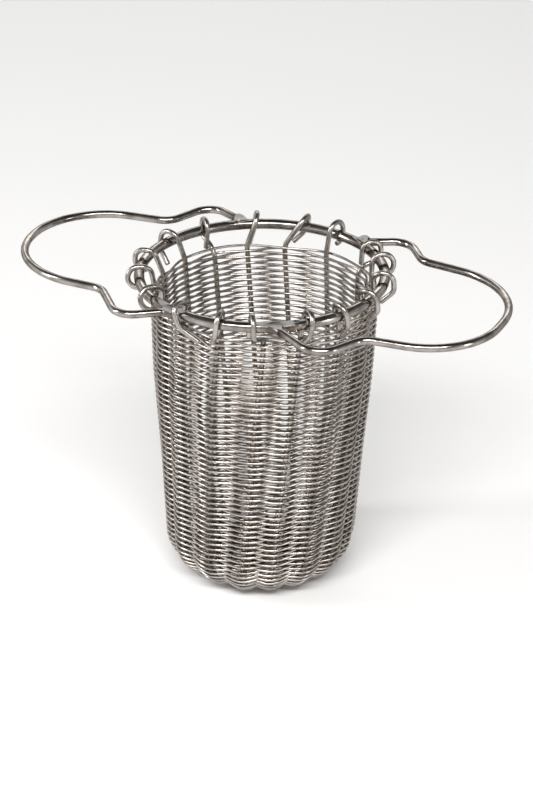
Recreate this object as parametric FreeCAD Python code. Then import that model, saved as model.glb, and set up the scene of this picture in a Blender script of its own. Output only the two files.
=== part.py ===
"""Hand-woven wire basket strainer: a rim ring with two loop handles, hooked into a woven wire basket.

Frame: +Z up, origin on the surface the basket stands on, under the centre of its base. +X points along
the handles' common axis. Millimetres and degrees throughout; azimuths run anticlockwise seen from above.
"""
import FreeCAD, Part
import os
from math import atan2, cos, degrees, hypot, pi, radians, sin, tan

# wire gauges
RIM_WIRE = 6.0
HANDLE_WIRE = 4.5
STAKE_WIRE = 3.0
WEAVER_WIRE = 1.5

# rim ring
RIM_RADIUS = 69.0
RIM_HEIGHT = 187.5
RIM_CENTRE_X = 1.4
RIM_CENTRE_Y = 0.6

# woven basket: radii and heights of the stakes' centre lines
WEAVE_TOP = 177.5
WALL_TOP_RADIUS = 61.7
WALL_MID_HEIGHT = 128.0
WALL_MID_RADIUS = 60.3
WALL_FOOT_RADIUS = 51.4
CORNER_RADIUS = 26.0
WALL_MID_BEND = 300.0
STAKE_TWIST = 13.0
LEAN_X = 3.0
LEAN_Y = 1.2
WEAVE_THICKNESS = STAKE_WIRE + 2 * WEAVER_WIRE
STAKE_FLOOR = WEAVE_THICKNESS / 2
CHANNEL_GAP = 0.1
BAND_GAP = 0.2
BASE_HUB_RADIUS = 15.5
BAND_HEIGHTS = (30.0, 78.0, 127.0, WEAVE_TOP)
LEAN_START = BAND_HEIGHTS[0]
SQUARING_CUT = 2.0

# crossing of the stakes under the base
CROSS_AZIMUTH = 65.0
CROSS_PITCH = 3.2
CROSS_LIFT = 3.1
CROSS_HALF = 7.8
CROSS_BEND = 6.0
FAN_LOW = 13.5
FAN_HIGH = 17.0
FAN_BEND = 14.0
HALF_STAKE_END = 13.0

# loops of the hooks, measured from the rim rod's centre line
HOOK_FLOOR = -4.9
HOOK_TAIL_BOTTOM = -12.5
OUTER_HOOK_FLOOR = -5.5
EYE_END = -1.5
DROP_END = 1.5
SHOULDER_BEND = 9.0
ROUNDING = 0.97


class Hook:
    """One hand-bent stake end. Distances are from the rim rod's centre line, in mm."""

    def __init__(self, wall, rim, style, reach, crown, sway=0.0, drop=HOOK_TAIL_BOTTOM):
        self.wall = wall        # azimuth where the stake leaves the top of the weave
        self.rim = rim          # azimuth where the loop passes over the rim rod
        self.style = style      # curl, eye, drop or outer
        self.reach = reach      # half the width of the loop
        self.crown = crown      # height of the loop's top
        self.sway = sway        # how far the cut end lies to the side, anticlockwise
        self.drop = drop        # height of the cut end, where the style has a hanging tail


HOOKS = (
    Hook(51.6, 46.2, "outer", 5.5, 6.4, sway=3.0, drop=-7.0),
    Hook(76.6, 73.4, "curl", 5.6, 7.5, sway=-1.5),
    Hook(101.2, 90.0, "drop", 5.4, 6.7, sway=8.5, drop=-11.0),
    Hook(121.7, 114.5, "drop", 5.3, 6.5, sway=4.5, drop=-13.0),
    Hook(140.5, 140.2, "outer", 5.3, 6.4, sway=3.2, drop=-9.0),
    Hook(160.4, 163.0, "eye", 5.5, 6.5, sway=3.4),
    Hook(182.0, 187.0, "curl", 5.5, 6.4, sway=2.0),
    Hook(202.0, 207.0, "curl", 6.4, 6.8, sway=2.5),
    Hook(225.0, 229.5, "curl", 7.2, 6.7, sway=6.5),
    Hook(244.6, 251.2, "drop", 5.4, 6.4, sway=14.0, drop=-12.5),
    Hook(268.0, 273.0, "drop", 5.3, 6.5, sway=-3.5, drop=-10.5),
    Hook(292.0, 288.5, "outer", 5.3, 6.4, sway=-3.5, drop=-8.5),
    Hook(310.5, 314.0, "eye", 5.6, 6.5, sway=-3.6),
    Hook(333.2, 329.5, "eye", 5.5, 6.4, sway=3.6),
    Hook(355.5, 349.0, "eye", 5.7, 6.6, sway=3.8),
    Hook(374.0, 370.0, "eye", 5.8, 6.7, sway=3.6),
    Hook(393.0, 391.0, "curl", 6.2, 6.9, sway=-2.5),
)
LOW_PAIRS = ((0, 11), (1, 10), (2, 9), (3, 8))
HIGH_PAIRS = ((4, 15), (5, 14), (6, 13), (7, 12))
HALF_STAKE = 16


class Handle:
    """One loop handle in its own frame: x outwards from the rim's centre, y to its left."""

    def __init__(self, turn, feet, rises, shoulders, necks, sides, corners, tip):
        self.turn = turn            # azimuth of the handle's axis
        self.feet = feet            # azimuths of the two welds from that axis, left then right
        self.rises = rises          # how far each foot climbs the side of the rim rod
        self.shoulders = shoulders  # corners of the S-bend outside each weld
        self.necks = necks          # corners where each leg turns outwards
        self.sides = sides          # half widths of the round end, to the left and to the right
        self.corners = corners      # radii of the round end, to the left and to the right
        self.tip = tip              # how far out its wire reaches


RIGHT_HANDLE = Handle(
    turn=-2.6,
    feet=(58.2, -59.7),
    rises=(1.6, 0.0),
    shoulders=((59.6, 73.4), (69.1, -82.4)),
    necks=((75.8, 52.8), (84.1, -53.2)),
    sides=(43.8, 49.4),
    corners=(53.3, 40.9),
    tip=144.5,
)
LEFT_HANDLE = Handle(
    turn=180.0,
    feet=(66.2, -57.0),
    rises=(0.0, 2.6),
    shoulders=((52.5, 80.4), (62.5, -74.2)),
    necks=((75.0, 51.8), (77.3, -46.8)),
    sides=(47.1, 44.1),
    corners=(51.7, 43.1),
    tip=143.1,
)
SHOULDER_ROUNDING = 12.0
NECK_ROUNDING = 12.0
COPE_DEPTH = 1.6
HANDLE_WELD_RADIUS = 3.7
BUTT_WELD_RADIUS = 3.6
BUTT_WELD_OUTWARD = 1.2
BUTT_WELD_AZIMUTH = -55.0


def vec(x, y, z):
    return FreeCAD.Vector(x, y, z)


def polar(radius, azimuth, z):
    return vec(radius * cos(radians(azimuth)), radius * sin(radians(azimuth)), z)


def rounded_path(points, radii):
    """Straight runs between the points, joined by tangent arcs of the given radii at the inner points."""
    runs = [points[i + 1] - points[i] for i in range(len(points) - 1)]
    lengths = [run.Length for run in runs]
    trims = []
    for i in range(1, len(points) - 1):
        turn = runs[i - 1].getAngle(runs[i])
        trims.append(radii[i - 1] * tan(turn / 2))
    trims = [0.0] + trims + [0.0]
    for i, length in enumerate(lengths):
        over = (trims[i] + trims[i + 1]) / (length * 0.999)
        if over > 1:
            trims[i] /= over
            trims[i + 1] /= over
    edges = []
    last = points[0]
    for i in range(1, len(points) - 1):
        before = vec(*runs[i - 1]).normalize()
        after = vec(*runs[i]).normalize()
        turn = before.getAngle(after)
        start = points[i] - before * trims[i]
        end = points[i] + after * trims[i]
        radius = trims[i] / tan(turn / 2)
        inward = (after - before).normalize()
        middle = points[i] + inward * (radius / cos(turn / 2) - radius)
        edges.append(Part.LineSegment(last, start).toShape())
        edges.append(Part.Arc(start, middle, end).toShape())
        last = end
    edges.append(Part.LineSegment(last, points[-1]).toShape())
    return Part.Wire(edges)


def drawn_wire(path, diameter):
    """A round wire along a path."""
    start = path.Edges[0].Vertexes[0].Point
    heading = path.Edges[0].tangentAt(path.Edges[0].FirstParameter)
    section = Part.Wire(Part.makeCircle(diameter / 2, start, heading))
    return path.makePipeShell([section], True, False)


# ---------------------------------------------------------------- the stakes

def lean(z):
    """Sideways shift of the basket's centre at height z: the basket hangs slightly out of true."""
    share = max(0.0, z - LEAN_START) / (RIM_HEIGHT - LEAN_START)
    return vec(LEAN_X * share, LEAN_Y * share, 0)


def wall_point(radius, azimuth, z):
    twist = STAKE_TWIST * (WEAVE_TOP - z) / WEAVE_TOP
    return polar(radius, azimuth - twist, z) + lean(z)


def rim_point(azimuth, outward, aside, up):
    """A point near the rim rod: outward and up from its centre line, and aside, anticlockwise."""
    radius = RIM_RADIUS + outward
    spot = polar(radius, azimuth + degrees(aside / RIM_RADIUS), RIM_HEIGHT + up)
    return spot + vec(RIM_CENTRE_X, RIM_CENTRE_Y, 0)


def hook_points(hook):
    """Corners of a hook, from the stake to its cut end, and the bend radius at each but the last."""
    bend = ROUNDING * hook.reach
    outer = hook.reach
    inner = -hook.reach
    if hook.style == "outer":
        spots = (
            (outer, 0.0, OUTER_HOOK_FLOOR),
            (outer, 0.0, hook.crown),
            (inner, hook.sway / 2, hook.crown),
            (inner, hook.sway, hook.drop),
        )
        radii = (bend, bend, bend)
    elif hook.style == "curl":
        spots = (
            (inner, 0.0, hook.crown),
            (outer, 0.0, hook.crown),
            (outer, hook.sway / 2, HOOK_FLOOR),
            (-0.25 * outer, hook.sway, HOOK_FLOOR),
        )
        radii = (bend, bend, bend)
    elif hook.style == "eye":
        spots = (
            (inner, 0.0, hook.crown),
            (outer, 0.0, hook.crown),
            (outer, hook.sway / 2, HOOK_FLOOR),
            (EYE_END, hook.sway, hook.drop),
        )
        radii = (bend, bend, bend)
    else:
        spots = (
            (inner, 0.0, hook.crown),
            (outer, 0.0, hook.crown),
            (outer, 0.3 * hook.sway, HOOK_FLOOR),
            (DROP_END, hook.sway, hook.drop),
        )
        radii = (bend, bend, 2 * bend)
    return [rim_point(hook.rim, *spot) for spot in spots], list(radii)


def stake_side(hook):
    """Corners and radii of one side of a stake, from its corner on the floor up to its cut end."""
    points = [
        wall_point(WALL_FOOT_RADIUS, hook.wall, STAKE_FLOOR),
        wall_point(WALL_MID_RADIUS, hook.wall, WALL_MID_HEIGHT),
        wall_point(WALL_TOP_RADIUS, hook.wall, WEAVE_TOP),
    ]
    radii = [CORNER_RADIUS, WALL_MID_BEND, SHOULDER_BEND]
    hook_corners, hook_radii = hook_points(hook)
    return points + hook_corners, radii + hook_radii


def cross_point(direction, along, offset, z):
    side = direction + 90
    return polar(along, direction, z) + polar(offset, side, 0)


def whole_stake(first, second, direction, offset, lift, fan):
    """Two sides of the basket joined under its base, straight across the middle."""
    first_points, first_radii = stake_side(HOOKS[first])
    second_points, second_radii = stake_side(HOOKS[second])
    middle = [cross_point(direction, fan, offset, STAKE_FLOOR)]
    middle_radii = [FAN_BEND]
    if lift:
        middle.append(cross_point(direction, CROSS_HALF, offset, STAKE_FLOOR + lift))
        middle.append(cross_point(direction, -CROSS_HALF, offset, STAKE_FLOOR + lift))
        middle_radii += [CROSS_BEND, CROSS_BEND]
    middle.append(cross_point(direction, -fan, offset, STAKE_FLOOR))
    middle_radii.append(FAN_BEND)
    points = first_points[::-1] + middle + second_points
    radii = first_radii[::-1] + middle_radii + second_radii
    return rounded_path(points, radii)


def half_stake(index):
    points, radii = stake_side(HOOKS[index])
    azimuth = HOOKS[index].wall - STAKE_TWIST * (WEAVE_TOP - STAKE_FLOOR) / WEAVE_TOP
    start = polar(HALF_STAKE_END, azimuth, STAKE_FLOOR)
    return rounded_path([start] + points, radii)


def stake_paths():
    paths = {}
    offsets = [CROSS_PITCH * (i - 1.5) for i in range(4)]
    for i, (first, second) in enumerate(LOW_PAIRS):
        paths[f"stake_wire_{i + 1}"] = whole_stake(
            first, second, CROSS_AZIMUTH, offsets[i], 0.0, FAN_LOW)
    for i, (first, second) in enumerate(HIGH_PAIRS):
        paths[f"stake_wire_{i + 5}"] = whole_stake(
            first, second, CROSS_AZIMUTH + 90, offsets[i], CROSS_LIFT, FAN_HIGH)
    paths["half_stake_wire"] = half_stake(HALF_STAKE)
    return paths


# ---------------------------------------------------------------- the weave

def wall_radius(z):
    """Radius of the stakes' centre lines at height z on the wall."""
    if z > WALL_MID_HEIGHT:
        share = (z - WALL_MID_HEIGHT) / (WEAVE_TOP - WALL_MID_HEIGHT)
        return WALL_MID_RADIUS + share * (WALL_TOP_RADIUS - WALL_MID_RADIUS)
    share = (z - STAKE_FLOOR) / (WALL_MID_HEIGHT - STAKE_FLOOR)
    return WALL_FOOT_RADIUS + share * (WALL_MID_RADIUS - WALL_FOOT_RADIUS)


def wall_band(low, high):
    """A ring of woven wall between two heights."""
    half = WEAVE_THICKNESS / 2
    heights = [low, high]
    if low < WALL_MID_HEIGHT < high:
        heights.insert(1, WALL_MID_HEIGHT)
    outer = [vec(wall_radius(z) + half, 0, z) for z in heights]
    inner = [vec(wall_radius(z) - half, 0, z) for z in reversed(heights)]
    outline = Part.makePolygon(outer + inner + outer[:1])
    band = Part.Face(outline).revolve(vec(0, 0, 0), vec(0, 0, 1), 360)
    tilt_axis = vec(-LEAN_Y, LEAN_X, 0)
    tilt = degrees(atan2(hypot(LEAN_X, LEAN_Y), RIM_HEIGHT - LEAN_START))
    band.rotate(vec(0, 0, LEAN_START), tilt_axis, tilt)
    return band


def base_bowl(high):
    """The woven base with its rounded corner, open at the hub where the stakes cross."""
    half = WEAVE_THICKNESS / 2
    slope = atan2(WALL_MID_RADIUS - WALL_FOOT_RADIUS, WALL_MID_HEIGHT - STAKE_FLOOR)
    centre_r = WALL_FOOT_RADIUS + CORNER_RADIUS * (sin(slope) - 1) / cos(slope)
    centre_z = STAKE_FLOOR + CORNER_RADIUS

    def corner(radius, angle):
        return vec(centre_r + radius * cos(angle), 0, centre_z + radius * sin(angle))

    outer = CORNER_RADIUS + half
    inner = CORNER_RADIUS - half
    hub_under = vec(BASE_HUB_RADIUS, 0, 0)
    hub_top = vec(BASE_HUB_RADIUS, 0, WEAVE_THICKNESS)
    edge_out = vec(wall_radius(high) + half, 0, high)
    edge_in = vec(wall_radius(high) - half, 0, high)
    edges = [
        Part.LineSegment(hub_under, corner(outer, -pi / 2)),
        Part.Arc(corner(outer, -pi / 2), corner(outer, -pi / 4), corner(outer, -slope)),
        Part.LineSegment(corner(outer, -slope), edge_out),
        Part.LineSegment(edge_out, edge_in),
        Part.LineSegment(edge_in, corner(inner, -slope)),
        Part.Arc(corner(inner, -slope), corner(inner, -pi / 4), corner(inner, -pi / 2)),
        Part.LineSegment(corner(inner, -pi / 2), hub_top),
        Part.LineSegment(hub_top, hub_under),
    ]
    outline = Part.Wire([edge.toShape() for edge in edges])
    return Part.Face(outline).revolve(vec(0, 0, 0), vec(0, 0, 1), 360)


def lowest_band():
    """The wall's lowest band, squared off underneath where it leans on the base."""
    band = wall_band(BAND_HEIGHTS[0] - SQUARING_CUT, BAND_HEIGHTS[1] - BAND_GAP)
    width = 3 * WALL_FOOT_RADIUS
    below = Part.makeBox(width, width, BAND_HEIGHTS[0], vec(-width / 2, -width / 2, 0))
    return band.cut(below)


def cut_channels(solid, paths):
    """Leave room through the weave for every stake."""
    width = STAKE_WIRE + 2 * CHANNEL_GAP
    for path in paths:
        solid = solid.cut(drawn_wire(path, width))
    return solid


# ---------------------------------------------------------------- rim ring, handles and welds

def rim_ring():
    centre = vec(RIM_CENTRE_X, RIM_CENTRE_Y, RIM_HEIGHT)
    return Part.makeTorus(RIM_RADIUS, RIM_WIRE / 2, centre)


def handle(shape, ring):
    """A loop of wire from weld to weld, its two ends coped to the rim rod."""
    end = RIM_WIRE / 2 - COPE_DEPTH

    def place(x, y, rise=0.0):
        turned = FreeCAD.Rotation(vec(0, 0, 1), shape.turn).multVec(vec(x, y, rise))
        return turned + vec(RIM_CENTRE_X, RIM_CENTRE_Y, RIM_HEIGHT)

    left, right = shape.sides
    points = [
        rim_point(shape.turn + shape.feet[0], end, 0.0, shape.rises[0]),
        place(*shape.shoulders[0], rise=shape.rises[0] / 2),
        place(*shape.necks[0]),
        place(shape.tip, left),
        place(shape.tip, -right),
        place(*shape.necks[1]),
        place(*shape.shoulders[1], rise=shape.rises[1] / 2),
        rim_point(shape.turn + shape.feet[1], end, 0.0, shape.rises[1]),
    ]
    radii = [SHOULDER_ROUNDING, NECK_ROUNDING, *shape.corners, NECK_ROUNDING, SHOULDER_ROUNDING]
    return drawn_wire(rounded_path(points, radii), HANDLE_WIRE).cut(ring)


def weld_bead(azimuth, outward, up, radius, neighbours):
    """A rounded bead around a joint, without the wires it joins."""
    bead = Part.makeSphere(radius, rim_point(azimuth, outward, 0.0, up))
    for wire in neighbours:
        bead = bead.cut(wire)
    return max(bead.Solids, key=lambda solid: solid.Volume)


def build():
    parts = {}
    ring = rim_ring()
    right = handle(RIGHT_HANDLE, ring)
    left = handle(LEFT_HANDLE, ring)
    parts["rim_ring"] = ring
    parts["right_handle"] = right
    parts["left_handle"] = left
    for name, shape, wire in (("right", RIGHT_HANDLE, right), ("left", LEFT_HANDLE, left)):
        for side, foot, rise in zip(("a", "b"), shape.feet, shape.rises):
            parts[f"{name}_handle_weld_{side}"] = weld_bead(
                shape.turn + foot, RIM_WIRE / 2, rise, HANDLE_WELD_RADIUS, (ring, wire))
    parts["ring_butt_weld"] = weld_bead(
        BUTT_WELD_AZIMUTH, BUTT_WELD_OUTWARD, 0.0, BUTT_WELD_RADIUS, (ring,))

    paths = stake_paths()
    for name, path in paths.items():
        parts[name] = drawn_wire(path, STAKE_WIRE)
        expected = pi / 4 * STAKE_WIRE ** 2 * path.Length
        print(f"{name}: volume over section times length {parts[name].Volume / expected:.4f}")

    bands = {
        "base_weave": base_bowl(BAND_HEIGHTS[0] - BAND_GAP),
        "lower_wall_weave": lowest_band(),
        "middle_wall_weave": wall_band(BAND_HEIGHTS[1], BAND_HEIGHTS[2] - BAND_GAP),
        "upper_wall_weave": wall_band(BAND_HEIGHTS[2], BAND_HEIGHTS[3]),
    }
    for name, band in bands.items():
        parts[name] = cut_channels(band, paths.values())
    return parts


os.makedirs("parts", exist_ok=True)
for node, shape in build().items():
    box = shape.BoundBox
    print(f"{node}: {len(shape.Solids)} solid, {shape.Volume:.0f} mm3, valid {shape.isValid()}, "
          f"z {box.ZMin:.2f} to {box.ZMax:.2f}")
    shape.exportStep(f"parts/{node}.step")
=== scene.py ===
import math

import bpy
import numpy as np
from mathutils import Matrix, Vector, noise
from mathutils.bvhtree import BVHTree


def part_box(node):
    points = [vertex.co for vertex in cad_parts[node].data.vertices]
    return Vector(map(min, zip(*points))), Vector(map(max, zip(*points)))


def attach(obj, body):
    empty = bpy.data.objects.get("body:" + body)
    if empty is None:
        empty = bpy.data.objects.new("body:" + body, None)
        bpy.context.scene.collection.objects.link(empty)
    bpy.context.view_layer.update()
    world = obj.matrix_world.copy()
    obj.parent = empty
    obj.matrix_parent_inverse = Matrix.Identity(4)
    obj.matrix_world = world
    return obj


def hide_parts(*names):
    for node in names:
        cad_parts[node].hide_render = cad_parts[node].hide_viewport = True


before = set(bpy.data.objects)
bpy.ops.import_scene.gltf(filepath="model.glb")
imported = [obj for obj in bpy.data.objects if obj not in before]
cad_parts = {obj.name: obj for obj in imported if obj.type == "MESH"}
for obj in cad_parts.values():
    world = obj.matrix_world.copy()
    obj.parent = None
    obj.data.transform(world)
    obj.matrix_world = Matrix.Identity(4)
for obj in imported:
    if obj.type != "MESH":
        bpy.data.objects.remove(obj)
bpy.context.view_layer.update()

# wire radii, as in the CAD part
RIM_R = 0.0030
HANDLE_R = 0.00225
STAKE_R = 0.0015
WEAVER_R = 0.00075

# how many sides their meshes have, and how many points go round the rim rod
RIM_SIDES = 56
RIM_POINTS = 900
HANDLE_SIDES = 32
STAKE_SIDES = 16
WEAVER_SIDES = 10

# the broken edge of a stake's cut end: its length, its rings' places along that, and how far it draws in
BROKEN_EDGE = 0.0003
EDGE_STEPS = np.array([0.35, 0.7, 0.9, 1.0])
EDGE_CUT = 0.8

# the basket's outline from the middle of its base: flat, then a round corner, then the wall
CORNER_START = 0.0272
CORNER_RADIUS = 0.026
CORNER_HEIGHT = 0.0290
WALL_START = CORNER_START + CORNER_RADIUS * math.pi / 2
WALL_COSINE = 0.9975

# the weave
WEAVE_START = 0.0176
WEAVE_TOP = 0.1767
ROW_PITCH = 0.0018
WIRE_OFFSET = STAKE_R + WEAVER_R - 0.00001
SPAN_STEPS = 8
WAVE_SLOW = 0.0009
WAVE_FAST = 0.0002
CALM_BASE_ROWS = 12
CALM_TOP_ROWS = 3
LAST_STAKE = 2

# the weaver's last rows rise to a level top, each with one step; then come its end's share of the way
# to the next stake, its drop below the top, and its distance outward, at four places
LEVEL_ROWS = 5.0
STEP_START = 0.8
END_COURSE = ((0.28, 0.0012, 0.0031), (0.56, 0.0034, 0.0032),
              (0.84, 0.0062, 0.0038), (0.97, 0.0078, 0.0040))
END_STEPS = 6

# painted shade in the bottom of the basket: its edge, how softly it ends, and how strong it is
BASE_SHADE_EDGE = 0.052
BASE_SHADE_BLUR = 0.012
BASE_SHADE_MOST = 1.8

# painted shade on the stakes where the weave wraps them: how much, and over what height it fades in below
# the top of the weave
STAKE_PAINTED_SHADE = 0.5
STAKE_SHADE_FADE = 0.004

# heat stain: how far from a weld it starts to fade, and how far it reaches along the rim and the handles
STAIN_START = 0.003
RIM_STAIN_REACH = 0.013
HANDLE_STAIN_REACH = 0.011
STAIN_FALL = 1.3

# the welds: how deep their tops are ground, and the shape of the metal around the joint
LOW_CUT = 0.0009
HIGH_CUT = 0.0004
BUTT_CUT = 0.0003
FOOT_CUT = 0.00055
FOOT_REACH = 0.0045
FLAT_REACH = 0.0035
FLAT_STRETCH = 1.7
FLAT_RISE = 0.0012
WELD_SWELL = 0.00055
BUTT_SWELL = 0.0006
WELD_TAPER = 24.0
WELD_BLEND = 0.0020
WELD_ROUGHNESS = 0.00013
GROUND_EDGE = 0.00008
FOOT_INTO_RIM = 0.0012
FOOT_LENGTH = 0.010
FOOT_STEP = 0.0004

# drops of weld metal: place along the rim rod, outward of its centre line and above it, and radius
DROPS = ((0.0020, 0.0036, -0.0019, 0.0012), (-0.0021, 0.0034, -0.0022, 0.0011))
DROP_BLEND = 0.0004

# the mesh of a weld's lump
LUMP_ROWS = 44
LUMP_COLUMNS = 72
LUMP_WALK = 50
WALK_SHARE = 0.7

# texture coordinates: u runs along a wire, v once round it
U_PER_METRE = 100

# how the centre lines of the CAD wires are found
FEELERS = 12
STAKE_STEP = 0.0009
HANDLE_STEP = 0.0012
LONGEST_LINE = 1500
LEVEL = 0.1
CROSSING_TOP = 0.010

# the camera
CAMERA_AT = Vector((0.4984, -1.2229, 0.8006))
CAMERA_FORWARD = Vector((-0.3317, 0.8210, -0.4647))
LENS = 116.7


def unit(v):
    return v / np.linalg.norm(v)


# ------------------------------------------------------------ centre lines of the CAD wires

class Tube:
    """One CAD wire, felt from inside to find its centre line."""

    def __init__(self, node, radius):
        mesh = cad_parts[node].data
        self.corners = np.array([vertex.co for vertex in mesh.vertices])
        faces = [face.vertices[:] for face in mesh.polygons]
        self.surface = BVHTree.FromPolygons(self.corners.tolist(), faces)
        self.edges = np.array([edge.vertices[:] for edge in mesh.edges])
        self.radius = radius

    def centre(self, at, along):
        """The centre of the wire's section near a point inside it, or None outside it."""
        side = along.orthogonal().normalized()
        other = along.cross(side)
        flat = []
        for k in range(FEELERS):
            angle = 2 * math.pi * k / FEELERS
            feeler = side * math.cos(angle) + other * math.sin(angle)
            distance = self.surface.ray_cast(at, feeler, 2.1 * self.radius)[3]
            if distance is not None:
                flat.append((distance * math.cos(angle), distance * math.sin(angle)))
        if len(flat) < FEELERS - 3:
            return None
        flat = np.array(flat)
        system = np.column_stack([2 * flat, np.ones(len(flat))])
        found = np.linalg.lstsq(system, (flat ** 2).sum(axis=1), rcond=None)[0]
        if math.hypot(found[0], found[1]) > 0.8 * self.radius:
            return None
        return at + side * float(found[0]) + other * float(found[1])

    def at_height(self, height):
        """A point on the centre line for each place where the wire rises past a height."""
        first, second = self.corners[self.edges[:, 0]], self.corners[self.edges[:, 1]]
        below, above = first[:, 2] - height, second[:, 2] - height
        crossing = below * above < 0
        share = below[crossing] / (below[crossing] - above[crossing])
        cut = first[crossing] + share[:, None] * (second[crossing] - first[crossing])
        found = []
        while len(cut):
            near = np.linalg.norm(cut - cut[0], axis=1) < 3 * self.radius
            found.append(self.centre(Vector(cut[near].mean(axis=0)), Vector((0, 0, 1))))
            cut = cut[~near]
        return found

    def follow(self, start, along, step):
        """Points along the wire's centre line, from start to the wire's end."""
        line = [start]
        along = Vector(along)
        while len(line) < LONGEST_LINE:
            end = self.surface.ray_cast(line[-1], along, step)[0]
            if end is not None:
                line.append(end)
                break
            spot = self.centre(line[-1] + step * along, along)
            if spot is None:
                break
            along = (spot - line[-1]).normalized()
            line.append(spot)
        return line


def stake_lines():
    """Each stake wire's centre line, and that of each side from the base's middle to its cut end."""
    whole = {}
    sides = []
    for node in sorted(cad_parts):
        if "stake" not in node:
            continue
        tube = Tube(node, STAKE_R)
        start = tube.at_height(LEVEL)[0]
        rising = tube.follow(start, (0, 0, 1), STAKE_STEP)
        falling = tube.follow(start, (0, 0, -1), STAKE_STEP)
        line = np.array([list(point) for point in rising[::-1] + falling[1:]])
        whole[node] = line
        reach = np.where(line[:, 2] < CROSSING_TOP, np.hypot(line[:, 0], line[:, 1]), 1.0)
        middle = int(reach.argmin())
        for side in (line[:middle + 1][::-1], line[middle:]):
            if side[:, 2].max() > LEVEL:
                sides.append(side)
    sides.sort(key=azimuth_at_level)
    return whole, sides


def azimuth_at_level(side):
    x, y = side[int((side[:, 2] > LEVEL).argmax()), :2]
    return math.atan2(y, x)


def outline_position(side):
    """How far along the basket's outline each point of a stake lies."""
    radius = np.hypot(side[:, 0], side[:, 1])
    height = side[:, 2]
    angle = np.arctan2(radius - CORNER_START, CORNER_HEIGHT - height)
    corner = CORNER_START + CORNER_RADIUS * angle
    wall = WALL_START + (height - CORNER_HEIGHT) / WALL_COSINE
    along = np.where(height > CORNER_HEIGHT, wall, np.where(radius < CORNER_START, radius, corner))
    return along


# ------------------------------------------------------------ meshes

def sweep(name, line, radii, sides, closed=False, level=False, marks=None):
    """A wire along a line. marks say how much brown it gets at each point of the line: heat stain near the
    welds, painted shade where wires cross and in the basket's bottom.
    """
    line = np.asarray(line, float)
    count = len(line)
    if closed:
        tangents = np.roll(line, -1, axis=0) - np.roll(line, 1, axis=0)
    else:
        tangents = np.gradient(line, axis=0)
    tangents /= np.linalg.norm(tangents, axis=1)[:, None]
    across = np.empty((count, 3))
    if level:
        across[:] = np.cross(tangents, [0.0, 0.0, 1.0])
    else:
        across[0] = np.cross(tangents[0], unit(np.array([0.2, 0.3, 0.93])))
        for i in range(1, count):
            across[i] = across[i - 1] - (across[i - 1] @ tangents[i]) * tangents[i]
            across[i] /= np.linalg.norm(across[i])
    across /= np.linalg.norm(across, axis=1)[:, None]
    upward = np.cross(across, tangents)
    radii = np.broadcast_to(np.asarray(radii, float), (count,))[:, None, None]
    turn = np.linspace(0, 2 * math.pi, sides, endpoint=False)[None, :, None]
    rings = (line[:, None, :]
             + radii * np.cos(turn) * across[:, None, :]
             + radii * np.sin(turn) * upward[:, None, :])
    vertices = rings.reshape(-1, 3)
    i = np.arange(count if closed else count - 1)[:, None]
    j = np.arange(sides)[None, :]
    after = (i + 1) % count
    faces = np.stack([i * sides + j, after * sides + j,
                      after * sides + (j + 1) % sides, i * sides + (j + 1) % sides], axis=-1).reshape(-1, 4)
    steps = np.linalg.norm(np.diff(line, axis=0), axis=1)
    length = np.concatenate([[0], np.cumsum(steps)])
    length_end = np.append(length, length[-1] + np.linalg.norm(line[0] - line[-1]))[1:]
    u_low = np.broadcast_to(length[i], (len(i), sides))
    u_high = np.broadcast_to(length_end[i], (len(i), sides))
    v_low = np.broadcast_to(j / sides, u_low.shape)
    v_high = v_low + 1 / sides
    uv = np.stack([u_low, v_low, u_high, v_low, u_high, v_high, u_low, v_high], axis=-1).reshape(-1, 2)
    uv[:, 0] *= U_PER_METRE
    faces = [tuple(face) for face in faces.tolist()]
    if not closed:
        faces.append(tuple(range(sides)))
        faces.append(tuple(range((count - 1) * sides, count * sides))[::-1])
        uv = np.concatenate([uv, np.full((2 * sides, 2), 0.5)])
    mesh = bpy.data.meshes.new(name)
    mesh.from_pydata([tuple(v) for v in vertices.tolist()], [], faces)
    layer = mesh.uv_layers.new(name="UVMap")
    layer.data.foreach_set("uv", uv.astype(np.float32).ravel())
    mesh.polygons.foreach_set("use_smooth", [True] * len(mesh.polygons))
    if marks is not None:
        attribute = mesh.attributes.new("stain_and_shade", "FLOAT", "POINT")
        attribute.data.foreach_set("value", np.repeat(np.asarray(marks, np.float32), sides))
    piece = bpy.data.objects.new(name, mesh)
    bpy.context.scene.collection.objects.link(piece)
    return piece


def base_painted_shade(line):
    """Painted shade in the bottom of the basket: from 0 to 1 for each point of a wire there."""
    shaded = np.clip((BASE_SHADE_EDGE - np.hypot(line[:, 0], line[:, 1])) / BASE_SHADE_BLUR, 0, 1)
    return np.where(line[:, 2] < CORNER_HEIGHT, shaded, 0.0)


def mount_piece(piece, body, nodes, material):
    """A piece moves with its body, stands for its CAD nodes and wears its material."""
    piece.data.materials.clear()
    piece.data.materials.append(material)
    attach(piece, body)
    if nodes:
        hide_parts(*nodes)
    return piece


def rounded_ends(line, radius, rounding):
    """The line and radii of a wire whose two cut ends have slightly broken edges."""
    line = np.asarray(line, float)
    first = unit(line[0] - line[1])
    last = unit(line[-1] - line[-2])
    shrink = np.sqrt(1 - (EDGE_STEPS * EDGE_CUT) ** 2)
    start = [line[0] + first * rounding * step for step in EDGE_STEPS[::-1]]
    end = [line[-1] + last * rounding * step for step in EDGE_STEPS]
    radii = np.concatenate([radius * shrink[::-1], np.full(len(line), radius), radius * shrink])
    return np.concatenate([start, line, end]), radii


# ------------------------------------------------------------ materials

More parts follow.
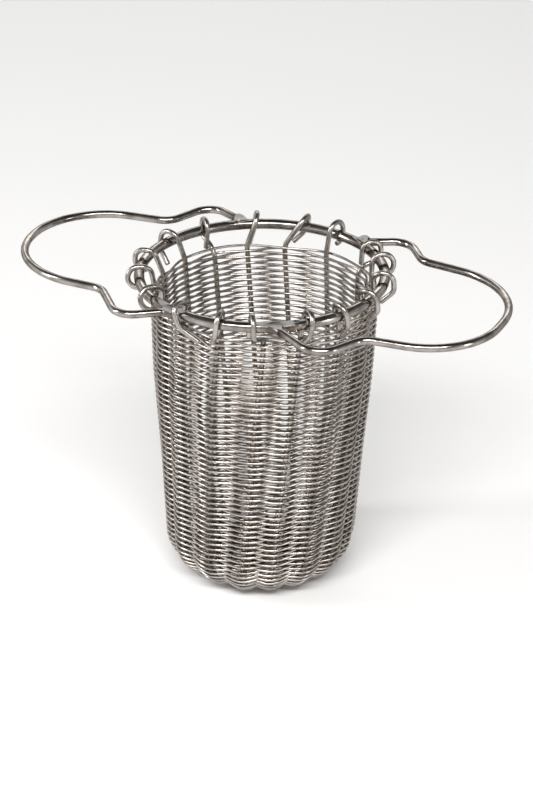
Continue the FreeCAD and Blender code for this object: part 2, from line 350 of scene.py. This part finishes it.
EDGE_TINT = (0.45, 0.44, 0.43, 1)
BRIGHT = (0.375, 0.348, 0.326)
GREY = (0.204, 0.185, 0.170)
STAKE_BRIGHT = (0.425, 0.398, 0.372)
STAKE_GREY = (0.255, 0.234, 0.214)
WEAVE_BRIGHT = (0.54, 0.50, 0.468)
WEAVE_GREY = (0.34, 0.312, 0.288)
WELD_BRIGHT = (0.34, 0.32, 0.305)
WELD_GREY = (0.15, 0.13, 0.12)
# BROWN is heat stain near the welds, and painted shade where wires cross and in the basket's bottom
BROWN = (0.085, 0.064, 0.050)
GROUND = (0.54, 0.525, 0.51)
GROUND_ROUGHNESS = 0.62
LINES_ALONG = 1.6
CLOUD_SCALE = 140.0
PIT_SCALE = 2600.0
PIT_SHARE = 0.35
BUMP_DEPTH = 0.0002


def add_node(tree, kind, inputs, **settings):
    """A new shader node. Each of its inputs gets a value or another node's output."""
    node = tree.nodes.new("ShaderNode" + kind)
    for name, value in settings.items():
        setattr(node, name, value)
    for name, value in inputs.items():
        if isinstance(value, bpy.types.NodeSocket):
            tree.links.new(value, node.inputs[name])
        else:
            node.inputs[name].default_value = value
    return node


def spread(tree, source, low, high, to_low=0.0, to_high=1.0):
    """A value stretched from the range low to high onto another range."""
    inputs = {"Value": source, "From Min": low, "From Max": high, "To Min": to_low, "To Max": to_high}
    return add_node(tree, "MapRange", inputs).outputs["Result"]


def mix_colours(tree, share, first, second):
    inputs = {"Factor": share, "A": first, "B": second}
    return add_node(tree, "Mix", inputs, data_type="RGBA").outputs["Result"]


def steel(name, colour, dark, rough, streak, stain_and_shade_amount, bump=0.12):
    """Drawn stainless wire: fine lines along its length, cloudy tone, and brown where it is marked: heat
    stain near the welds, painted shade where wires cross and in the basket's bottom.
    """
    material = bpy.data.materials.new(name)
    material.use_nodes = True
    tree = material.node_tree
    shader = tree.nodes["Principled BSDF"]
    shader.inputs["Metallic"].default_value = 1.0
    shader.inputs["Specular Tint"].default_value = EDGE_TINT

    uv = add_node(tree, "UVMap", {}, uv_map="UVMap").outputs["UV"]
    stretched = add_node(tree, "Mapping", {"Vector": uv, "Scale": (LINES_ALONG, streak, 1.0)})
    place = add_node(tree, "TexCoord", {}).outputs["Object"]
    lines = add_node(tree, "TexNoise", {"Vector": stretched.outputs["Vector"], "Scale": 1.0,
                                        "Detail": 6.0, "Roughness": 0.65}).outputs["Fac"]
    cloud = add_node(tree, "TexNoise", {"Vector": place, "Scale": CLOUD_SCALE, "Detail": 4.0}).outputs["Fac"]
    pits = add_node(tree, "TexNoise", {"Vector": place, "Scale": PIT_SCALE, "Detail": 2.0}).outputs["Fac"]
    stain_and_shade = add_node(tree, "Attribute", {}, attribute_name="stain_and_shade").outputs["Fac"]
    ground = add_node(tree, "Attribute", {}, attribute_name="ground").outputs["Fac"]

    tone = mix_colours(tree, spread(tree, cloud, 0.32, 0.58), (*dark, 1), (*colour, 1))
    # brown patches: heat stain near the welds, painted shade where wires cross and in the basket's bottom
    patches = spread(tree, lines, 0.3, 0.6, 0.4 * stain_and_shade_amount, stain_and_shade_amount)
    patchy = add_node(tree, "Math", {0: stain_and_shade, 1: patches}, operation="MULTIPLY").outputs["Value"]
    stained_and_shaded = mix_colours(tree, patchy, tone, (*BROWN, 1))
    tree.links.new(mix_colours(tree, ground, stained_and_shaded, (*GROUND, 1)), shader.inputs["Base Color"])

    drawn = spread(tree, lines, 0.3, 0.7, *rough)
    dulled = add_node(tree, "Mix", {"Factor": ground, "A": drawn, "B": GROUND_ROUGHNESS}).outputs["Result"]
    tree.links.new(dulled, shader.inputs["Roughness"])

    relief = add_node(tree, "Math", {0: pits, 1: PIT_SHARE, 2: lines}, operation="MULTIPLY_ADD")
    dent = add_node(tree, "Bump", {"Height": relief.outputs["Value"], "Strength": bump,
                                   "Distance": BUMP_DEPTH})
    tree.links.new(dent.outputs["Normal"], shader.inputs["Normal"])
    return material


rim_steel = steel("rim_steel", BRIGHT, GREY, (0.10, 0.20), 26.0, 0.9)
handle_steel = steel("handle_steel", BRIGHT, GREY, (0.10, 0.20), 22.0, 0.9)
stake_steel = steel("stake_steel", STAKE_BRIGHT, STAKE_GREY, (0.20, 0.34), 14.0, 0.42)
weave_steel = steel("weave_steel", WEAVE_BRIGHT, WEAVE_GREY, (0.16, 0.28), 9.0, 0.36)
weld_steel = steel("weld_steel", WELD_BRIGHT, WELD_GREY, (0.14, 0.30), 12.0, 0.75, bump=0.4)


# ------------------------------------------------------------ stakes

stakes, stake_sides = stake_lines()
for node, line in stakes.items():
    path, radii = rounded_ends(line, STAKE_R, BROKEN_EDGE)
    # painted shade: the stakes are darker below the top of the weave, and in the basket's bottom
    stake_shade = np.clip((WEAVE_TOP - path[:, 2]) / STAKE_SHADE_FADE, 0, 1) * STAKE_PAINTED_SHADE
    stake_shade = np.maximum(stake_shade, BASE_SHADE_MOST * base_painted_shade(path))
    piece = sweep(node.replace("_wire", "_rod"), path, radii, STAKE_SIDES, marks=stake_shade)
    mount_piece(piece, "basket", [node], stake_steel)


# ------------------------------------------------------------ weave

top_low, top_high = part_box("upper_wall_weave")
TOP_MIDDLE = np.array((top_low + top_high) / 2)
LEAN_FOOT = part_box("base_weave")[1].z


def basket_axis(height):
    """Where the basket's axis stands at a height: it leans a little above its foot."""
    share = max(0.0, height - LEAN_FOOT) / (TOP_MIDDLE[2] - LEAN_FOOT)
    return np.array([TOP_MIDDLE[0], TOP_MIDDLE[1], 0.0]) * share


class Side:
    """One stake's course through the weave."""

    def __init__(self, line):
        within = line[:int((line[:, 2] > WEAVE_TOP + 0.003).argmax()) + 1]
        self.along = np.maximum.accumulate(outline_position(within)) + np.arange(len(within)) * 1e-9
        self.line = within

    def point(self, along):
        return np.array([np.interp(along, self.along, self.line[:, i]) for i in range(3)])

    def crossing(self, along, outward):
        """The weaver's centre as it passes the stake, outward of it or inward."""
        here = self.point(along)
        rise = unit(self.point(along + 0.0015) - self.point(along - 0.0015))
        from_axis = here - basket_axis(here[2])
        round_axis = unit(np.array([-from_axis[1], from_axis[0], 0.0]))
        return here + unit(np.cross(round_axis, rise)) * outward


sides = [Side(line) for line in stake_sides]
STAKES = len(sides)
OUTLINE_TOP = WALL_START + (WEAVE_TOP - CORNER_HEIGHT) / WALL_COSINE
LAST_CROSSING = int((OUTLINE_TOP - WEAVE_START) / ROW_PITCH) * STAKES
while LAST_CROSSING % STAKES != LAST_STAKE or LAST_CROSSING % 2 == 0:
    LAST_CROSSING += 1
PITCH = (OUTLINE_TOP - WEAVE_START) * STAKES / LAST_CROSSING


def row_shift(row, stake):
    """How far a row strays from its even place at one stake: slow waves, and the weaver's small slips."""
    azimuth = 2 * math.pi * stake / STAKES
    ring = Vector((math.cos(azimuth), math.sin(azimuth), 0.0))
    slow = noise.noise(ring * 1.3 + Vector((3.1, 7.7, row * 0.022)))
    fast = noise.noise(ring * 4.1 + Vector((9.4, 1.3, row * 0.31)))
    return WAVE_SLOW * slow + WAVE_FAST * fast


def level_lift(left):
    """How much higher than an even spiral the wire lies, this many turns from its end: the top is level."""
    share = max(0.0, 1 - left / LEVEL_ROWS)
    turn = left % 1.0
    step = max(0.0, (turn - STEP_START) / (1 - STEP_START))
    return share * PITCH * (turn - step)


def weaver_line():
    """Where the weaver crosses each stake in turn: outside one, inside the next, round and round."""
    crossings = []
    places = []
    for n in range(LAST_CROSSING + 2):
        row = n / STAKES
        stake = n % STAKES
        left = max(0.0, (LAST_CROSSING - n) / STAKES)
        calm = min(1.0, row / CALM_BASE_ROWS, left / CALM_TOP_ROWS)
        along = OUTLINE_TOP - left * PITCH + calm * row_shift(row, stake) + level_lift(left)
        outward = WIRE_OFFSET if n % 2 else -WIRE_OFFSET
        crossings.append(sides[stake].crossing(along, outward))
        places.append(along)
    return np.array(crossings), np.array(places)


def loose_end(start):
    """The weaver's end: it runs down over the other rows towards the next stake."""
    here, there = sides[LAST_STAKE], sides[LAST_STAKE + 1]
    spots = [start]
    for share, drop, outward in END_COURSE:
        before = here.crossing(OUTLINE_TOP - drop, outward)
        after = there.crossing(OUTLINE_TOP - drop, outward)
        spots.append(before + share * (after - before))
    return spots


def smooth_line(knots, steps):
    """A smooth curve through the knots, with an even number of steps between them."""
    before = np.concatenate([knots[:1], knots[:-1]])
    after = np.concatenate([knots[1:], knots[-1:]])
    slopes = (after - before) / 2
    t = np.linspace(0, 1, steps, endpoint=False)[None, :, None]
    a, b = knots[:-1, None, :], knots[1:, None, :]
    da, db = slopes[:-1, None, :], slopes[1:, None, :]
    curve = ((2 * t**3 - 3 * t**2 + 1) * a + (t**3 - 2 * t**2 + t) * da
             + (3 * t**2 - 2 * t**3) * b + (t**3 - t**2) * db)
    return np.concatenate([curve.reshape(-1, 3), knots[-1:]])


knots, knot_places = weaver_line()
course = smooth_line(knots, SPAN_STEPS)[:LAST_CROSSING * SPAN_STEPS + 1]
end_knots = np.array([course[-1 - SPAN_STEPS // 4]] + loose_end(course[-1]))
end_course = smooth_line(end_knots, END_STEPS)[END_STEPS + 1:]
phase = np.arange(len(course)) / SPAN_STEPS
# painted shade: the weaver is darker where it passes a stake
crossing_shade = np.cos(math.pi * phase) ** 8
band_tops = [WALL_START + (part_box(name)[1].z - CORNER_HEIGHT) / WALL_COSINE
             for name in ("base_weave", "lower_wall_weave", "middle_wall_weave")]
cuts = [int(np.searchsorted(knot_places[:-20], top)) // 2 * 2 for top in band_tops]
limits = [0] + cuts + [LAST_CROSSING]
for name, first, last in zip(("base", "lower_wall", "middle_wall", "upper_wall"), limits, limits[1:]):
    part = slice(first * SPAN_STEPS, last * SPAN_STEPS + 1)
    line, marks = course[part], crossing_shade[part]
    if last == LAST_CROSSING:
        line = np.concatenate([line, end_course])
        marks = np.concatenate([marks, np.zeros(len(end_course))])
    # painted shade in the bottom of the basket
    marks = np.maximum(marks, BASE_SHADE_MOST * base_painted_shade(line))
    piece = sweep(f"{name}_weaver", line, WEAVER_R, WEAVER_SIDES, marks=marks)
    mount_piece(piece, "basket", [f"{name}_weave"], weave_steel)


# ------------------------------------------------------------ rim ring, handles and welds

rim_low, rim_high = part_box("rim_ring")
rim_centre = np.array((rim_low + rim_high) / 2)
rim_radius = (rim_high.x - rim_low.x) / 2 - RIM_R


def around_rim(points, azimuth):
    """Points as seen from the rim rod: outward of its centre line, above it, and along it."""
    from_centre = points - rim_centre
    outward = np.hypot(from_centre[:, 0], from_centre[:, 1]) - rim_radius
    turned = np.arctan2(from_centre[:, 1], from_centre[:, 0]) - azimuth
    along = (turned + math.pi) % (2 * math.pi) - math.pi
    return outward, from_centre[:, 2], along * rim_radius


def smooth_union(one, other, blend):
    share = np.clip(0.5 + 0.5 * (other - one) / blend, 0, 1)
    return other + share * (one - other) - blend * share * (1 - share)


class Weld:
    """A weld on the rim rod, with the foot of the handle that ends in it, ground flat on top."""

    def __init__(self, node, foot=None):
        low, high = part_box(node)
        middle = np.array((low + high) / 2) - rim_centre
        self.node = node
        self.foot = foot
        self.azimuth = math.atan2(middle[1], middle[0])
        self.outward = unit(np.array([middle[0], middle[1], 0.0]))
        self.spot = rim_centre + (rim_radius + RIM_R) * self.outward
        if foot is None:
            self.ring_cut, self.slope = BUTT_CUT, 0.0
        else:
            rise = foot[0][2] - rim_centre[2]
            self.ring_cut = LOW_CUT if rise < 0.001 else HIGH_CUT
            handle_cut = rise + HANDLE_R - FOOT_CUT
            self.slope = (handle_cut - (RIM_R - self.ring_cut)) / FOOT_REACH

    def ground_height(self, points):
        """Height of the ground flat over each point: a shallow dish that fades out along the rod."""
        outward, _, along = around_rim(points, self.azimuth)
        away = np.hypot(along / FLAT_STRETCH, outward - RIM_R / 2)
        fade = FLAT_RISE * (np.maximum(0.0, away - FLAT_REACH) / FLAT_REACH) ** 2
        return rim_centre[2] + RIM_R - self.ring_cut + self.slope * np.clip(outward, 0, FOOT_REACH) + fade

    def depth(self, points):
        """Signed distance to the lump's surface, less than nothing inside."""
        outward, up, along = around_rim(points, self.azimuth)
        swell = WELD_SWELL if self.foot is not None else BUTT_SWELL
        facing = np.clip(0.5 + outward / RIM_R, -0.3, 1)
        found = np.hypot(outward, up) - (RIM_R + swell * facing - WELD_TAPER * along ** 2)
        if self.foot is not None:
            reach = np.linalg.norm(self.foot - self.foot[0], axis=1)
            girth = HANDLE_R + swell - WELD_TAPER * reach ** 2
            gaps = np.linalg.norm(points[:, None, :] - self.foot[None], axis=2) - girth
            found = smooth_union(found, gaps.min(axis=1), WELD_BLEND)
        for drop_along, drop_outward, drop_up, drop_radius in DROPS:
            drop = np.sqrt((along - drop_along) ** 2 + (outward - drop_outward) ** 2 + (up - drop_up) ** 2)
            found = smooth_union(found, drop - drop_radius, DROP_BLEND)
        return found

    def lump(self):
        """The weld metal as a mesh, found by walking outwards from the joint's middle."""
        polar = np.linspace(0, math.pi, LUMP_ROWS)[1:-1]
        turn = np.linspace(0, 2 * math.pi, LUMP_COLUMNS, endpoint=False)
        polar, turn = [grid.ravel() for grid in np.meshgrid(polar, turn, indexing="ij")]
        ways = np.stack([np.sin(polar) * np.cos(turn), np.sin(polar) * np.sin(turn), np.cos(polar)], axis=1)
        ways = np.concatenate([ways, [[0, 0, 1], [0, 0, -1]]])
        middle = rim_centre + (rim_radius + RIM_R / 2) * self.outward
        if self.foot is not None:
            middle = middle + np.array([0, 0, (self.foot[0][2] - rim_centre[2]) / 2])
        travel = np.zeros(len(ways))
        for _ in range(LUMP_WALK):
            travel = travel - WALK_SHARE * self.depth(middle + travel[:, None] * ways)
        points = middle + travel[:, None] * ways
        rough = np.array([noise.noise(Vector(point * 700)) + 0.5 * noise.noise(Vector(point * 1700))
                          for point in points])
        points = points + (WELD_ROUGHNESS * rough)[:, None] * ways
        rows = LUMP_ROWS - 2
        faces = []
        corners = []
        for i in range(rows - 1):
            for j in range(LUMP_COLUMNS):
                k = (j + 1) % LUMP_COLUMNS
                faces.append((i * LUMP_COLUMNS + j, (i + 1) * LUMP_COLUMNS + j,
                              (i + 1) * LUMP_COLUMNS + k, i * LUMP_COLUMNS + k))
                u, v = 4 * j / LUMP_COLUMNS, i / rows
                u_next, v_next = u + 4 / LUMP_COLUMNS, v + 1 / rows
                corners += [(u, v), (u, v_next), (u_next, v_next), (u_next, v)]
        top, bottom = len(points) - 2, len(points) - 1
        for j in range(LUMP_COLUMNS):
            k = (j + 1) % LUMP_COLUMNS
            faces.append((top, j, k))
            faces.append((bottom, (rows - 1) * LUMP_COLUMNS + k, (rows - 1) * LUMP_COLUMNS + j))
            u = 4 * j / LUMP_COLUMNS
            corners += [(u, 0), (u, 0), (u, 0), (u, 1), (u, 1), (u, 1)]
        mesh = bpy.data.meshes.new(self.node)
        mesh.from_pydata(points.tolist(), [], faces)
        layer = mesh.uv_layers.new(name="UVMap")
        layer.data.foreach_set("uv", np.array(corners, np.float32).ravel())
        mesh.polygons.foreach_set("use_smooth", [True] * len(mesh.polygons))
        stain_and_shade = mesh.attributes.new("stain_and_shade", "FLOAT", "POINT")
        stain_and_shade.data.foreach_set("value", np.ones(len(points), np.float32))
        piece = bpy.data.objects.new(self.node.replace("weld", "weld_lump"), mesh)
        bpy.context.scene.collection.objects.link(piece)
        return piece


def handle_line(side, sign):
    """A handle's centre line, run on a little into the rim rod at both its feet."""
    tube = Tube(f"{side}_handle", HANDLE_R)
    tip = tube.corners[(tube.corners[:, 0] * sign).argmax()]
    start = tube.centre(Vector(tip) - Vector((sign * HANDLE_R, 0, 0)), Vector((0, 1, 0)))
    one_way = tube.follow(start, (0, 1, 0), HANDLE_STEP)
    other_way = tube.follow(start, (0, -1, 0), HANDLE_STEP)
    line = np.array([list(point) for point in one_way[::-1] + other_way[1:]])
    first = line[0] + unit(line[1] - line[3]) * FOOT_INTO_RIM
    last = line[-1] + unit(line[-2] - line[-4]) * FOOT_INTO_RIM
    return np.concatenate([[first], line[1:-1], [last]])


def foot_of(line):
    """Closely spaced points of a handle's last few millimetres, from its end."""
    length = np.concatenate([[0], np.cumsum(np.linalg.norm(np.diff(line, axis=0), axis=1))])
    spots = np.arange(0, FOOT_LENGTH, FOOT_STEP)
    return np.stack([np.interp(spots, length, line[:, i]) for i in range(3)], axis=1)


handle_lines = {side: handle_line(side, sign) for side, sign in (("right", 1), ("left", -1))}
feet = [foot_of(line[::way]) for line in handle_lines.values() for way in (1, -1)]
welds = []
for node in sorted(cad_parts):
    if "handle_weld" in node:
        spot = np.array((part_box(node)[0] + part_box(node)[1]) / 2)
        gaps = [np.linalg.norm(foot[0] - spot) for foot in feet]
        welds.append(Weld(node, feet[int(np.argmin(gaps))]))
    elif "weld" in node:
        welds.append(Weld(node))


def nearness(line, reach):
    """How near each point of a line is to a weld, from 0 to 1."""
    gaps = np.min([np.linalg.norm(line - weld.spot, axis=1) for weld in welds], axis=0)
    return np.clip(1 - (gaps - STAIN_START) / reach, 0, 1) ** STAIN_FALL


def grind(piece):
    """Grind a piece's top flat at the welds, and mark where it is ground."""
    mesh = piece.data
    points = np.empty(3 * len(mesh.vertices), np.float32)
    mesh.vertices.foreach_get("co", points)
    points = points.reshape(-1, 3).astype(float)
    low = np.min([weld.ground_height(points) for weld in welds], axis=0)
    cut = points[:, 2] - low
    points[:, 2] = np.minimum(points[:, 2], low)
    mesh.vertices.foreach_set("co", points.astype(np.float32).ravel())
    ground = mesh.attributes.new("ground", "FLOAT", "POINT")
    ground.data.foreach_set("value", np.clip(cut / GROUND_EDGE, 0, 1).astype(np.float32))
    mesh.update()


turns = np.linspace(0, 2 * math.pi, RIM_POINTS, endpoint=False)
rim_line = rim_centre + rim_radius * np.stack([np.cos(turns), np.sin(turns), 0 * turns], axis=1)
rim_marks = nearness(rim_line, RIM_STAIN_REACH)
rim_piece = sweep("rim_rod", rim_line, RIM_R, RIM_SIDES, closed=True, level=True, marks=rim_marks)
grind(rim_piece)
mount_piece(rim_piece, "rim", ["rim_ring"], rim_steel)

for side, line in handle_lines.items():
    marks = nearness(line, HANDLE_STAIN_REACH)
    piece = sweep(f"{side}_handle_rod", line, HANDLE_R, HANDLE_SIDES, level=True, marks=marks)
    grind(piece)
    mount_piece(piece, "rim", [f"{side}_handle"], handle_steel)

for weld in welds:
    piece = weld.lump()
    grind(piece)
    mount_piece(piece, "rim", [weld.node], weld_steel)


# ------------------------------------------------------------ floor, light and camera

def plain_material(name, colour, rough):
    material = bpy.data.materials.new(name)
    material.use_nodes = True
    shader = material.node_tree.nodes["Principled BSDF"]
    shader.inputs["Base Color"].default_value = (*colour, 1)
    shader.inputs["Roughness"].default_value = rough
    return material


FLOOR_REACH = 6.0
floor_mesh = bpy.data.meshes.new("floor")
floor_corners = [(x * FLOOR_REACH, y * FLOOR_REACH, 0) for x, y in ((-1, -1), (1, -1), (1, 1), (-1, 1))]
floor_mesh.from_pydata(floor_corners, [], [(0, 1, 2, 3)])
floor = bpy.data.objects.new("floor", floor_mesh)
floor_mesh.materials.append(plain_material("floor_paper", (0.93, 0.93, 0.93), 0.9))
bpy.context.scene.collection.objects.link(floor)


def softbox(name, at, aim, width, height, power, colour=(1, 1, 1)):
    light = bpy.data.lights.new(name, "AREA")
    light.shape = "RECTANGLE"
    light.size = width
    light.size_y = height
    light.energy = power
    light.color = colour
    lamp = bpy.data.objects.new(name, light)
    lamp.location = at
    lamp.rotation_mode = "QUATERNION"
    lamp.rotation_quaternion = (Vector(aim) - Vector(at)).to_track_quat("-Z", "Y")
    bpy.context.scene.collection.objects.link(lamp)


MIDDLE = (0.0, 0.0, 0.12)
softbox("key_softbox", (0.45, -1.35, 1.6), MIDDLE, 1.9, 0.42, 48.0, (1.0, 0.985, 0.965))
softbox("left_softbox", (-1.6, -0.8, 0.9), MIDDLE, 0.35, 1.2, 14.0)
softbox("right_softbox", (1.7, -0.35, 0.35), MIDDLE, 0.22, 1.0, 5.0)
softbox("back_softbox", (-0.6, 1.7, 1.2), MIDDLE, 1.6, 0.5, 7.0)

# the room: pale below and dark above, and brighter on the left
WORLD_STOPS = ((0.0, 0.80), (0.50, 0.75), (0.60, 0.68), (0.70, 0.38), (0.80, 0.12), (1.0, 0.04))
WORLD_LEFT = 2.0
WORLD_RIGHT = 1.05
world = bpy.data.worlds.new("studio")
world.use_nodes = True
bpy.context.scene.world = world
tree = world.node_tree
background = tree.nodes["Background"]
direction = add_node(tree, "TexCoord", {}).outputs["Generated"]
split = add_node(tree, "SeparateXYZ", {"Vector": direction}).outputs
shade = add_node(tree, "ValToRGB", {"Fac": spread(tree, split["Z"], -1.0, 1.0)})
while len(shade.color_ramp.elements) < len(WORLD_STOPS):
    shade.color_ramp.elements.new(0.5)
for element, (position, level) in zip(shade.color_ramp.elements, WORLD_STOPS):
    element.position = position
    element.color = (level, level, level * 0.99, 1)
tree.links.new(shade.outputs["Color"], background.inputs["Color"])
tree.links.new(spread(tree, split["X"], -1.0, 1.0, WORLD_LEFT, WORLD_RIGHT), background.inputs["Strength"])

camera_data = bpy.data.cameras.new("camera")
camera_data.lens = LENS
camera_data.sensor_width = 36.0
camera_data.clip_start = 0.01
camera_data.clip_end = 50.0
camera = bpy.data.objects.new("camera", camera_data)
camera.location = CAMERA_AT
camera.rotation_mode = "QUATERNION"
camera.rotation_quaternion = CAMERA_FORWARD.to_track_quat("-Z", "Y")
bpy.context.scene.collection.objects.link(camera)
bpy.context.scene.camera = camera
bpy.context.scene.view_settings.view_transform = "Standard"
